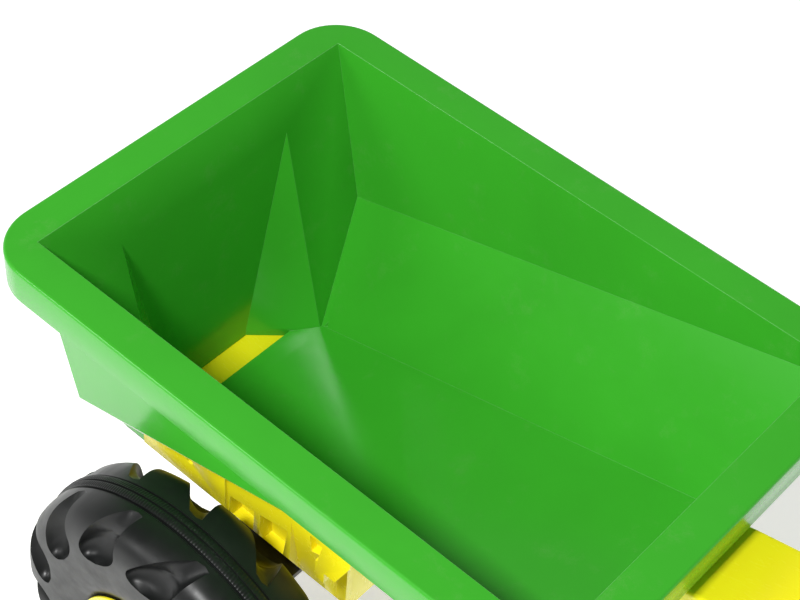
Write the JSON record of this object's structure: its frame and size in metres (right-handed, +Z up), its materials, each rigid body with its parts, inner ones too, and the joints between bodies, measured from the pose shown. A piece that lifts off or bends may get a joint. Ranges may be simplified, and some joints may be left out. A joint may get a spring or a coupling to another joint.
{
  "type": "towed garden spreader",
  "caption": "Child-size towed spreader: tapered hopper on a two-wheel chassis with drawbar, dosing slide and wheel-driven spinner disc.",
  "frame": {"origin": "on the ground, under the centre of the overall length and width", "axes": "+X is the direction of travel, towards the drawbar; +Y is left; +Z is up"},
  "size_m": [0.866, 0.4418, 0.4345],
  "materials": {
    "green_plastic": "gloss",
    "yellow_plastic": "gloss",
    "black_tyre": "satin",
    "black_plastic": "satin",
    "grey_nylon": "satin",
    "steel": "brushed",
    "brass": "satin"
  },
  "bodies": {
    "chassis": {"hopper": "green_plastic", "chassis_frame": "yellow_plastic", "drawbar": "yellow_plastic", "hitch_bush": "steel", "axle_bracket_left": "black_plastic", "axle_bracket_right": "black_plastic", "hopper_screws": "steel", "guide_screws": "steel", "case_screws": "steel", "drawbar_screws": "steel", "bracket_screws": "steel", "front_rivets": "steel", "axle_bush_left": "grey_nylon", "axle_bush_right": "grey_nylon", "lay_bush_rear": "brass", "lay_bush_front": "brass", "spinner_bush_upper": "brass", "spinner_bush_lower": "brass", "drive_case_tray": "black_plastic", "drive_case_cover": "black_plastic", "gate_guide_left": "black_plastic", "gate_guide_right": "black_plastic"},
    "gate": {"gate_slide": "yellow_plastic", "gate_handle": "black_plastic", "handle_rivets": "steel"},
    "axle": {"axle": "steel", "drive_gear": "grey_nylon", "gear_pin": "steel", "wheel_left_tyre": "black_tyre", "wheel_left_hub": "yellow_plastic", "wheel_drive_pin": "steel", "axle_cap_left": "black_plastic", "axle_cap_right": "black_plastic", "axle_spacer_left": "grey_nylon", "axle_spacer_right": "grey_nylon"},
    "right_wheel": {"wheel_right_tyre": "black_tyre", "wheel_right_hub": "yellow_plastic", "wheel_right_bush": "grey_nylon"},
    "lay_shaft": {"lay_shaft": "steel", "lay_pinion_front": "grey_nylon", "lay_pinion_rear": "grey_nylon"},
    "spinner": {"spinner_shaft": "steel", "spinner_gear": "grey_nylon", "spinner_disc": "yellow_plastic", "spinner_cap": "green_plastic"}
  },
  "joints": [
    {"name": "gate_slide_joint", "type": "slide", "parent": "chassis", "child": "gate", "axis": [-1, 0, 0], "range_m": [0, 0.026]},
    {"name": "axle_spin", "type": "hinge", "parent": "chassis", "child": "axle", "pos_m": [-0.2306, 0, 0.15], "axis": [0, 1, 0], "continuous": true},
    {"name": "right_wheel_spin", "type": "hinge", "parent": "axle", "child": "right_wheel", "pos_m": [-0.2306, -0.1794, 0.15], "axis": [0, 1, 0], "continuous": true},
    {"name": "lay_shaft_spin", "type": "hinge", "parent": "chassis", "child": "lay_shaft", "pos_m": [-0.362, 0, 0.15], "axis": [1, 0, 0], "continuous": true},
    {"name": "spinner_spin", "type": "hinge", "parent": "chassis", "child": "spinner", "pos_m": [-0.362, 0, 0.15], "axis": [0, 0, 1], "continuous": true}
  ],
  "couplings": [
    {"joint": "lay_shaft_spin", "follows": "axle_spin", "ratio": 2.5},
    {"joint": "spinner_spin", "follows": "axle_spin", "ratio": 2.5}
  ]
}
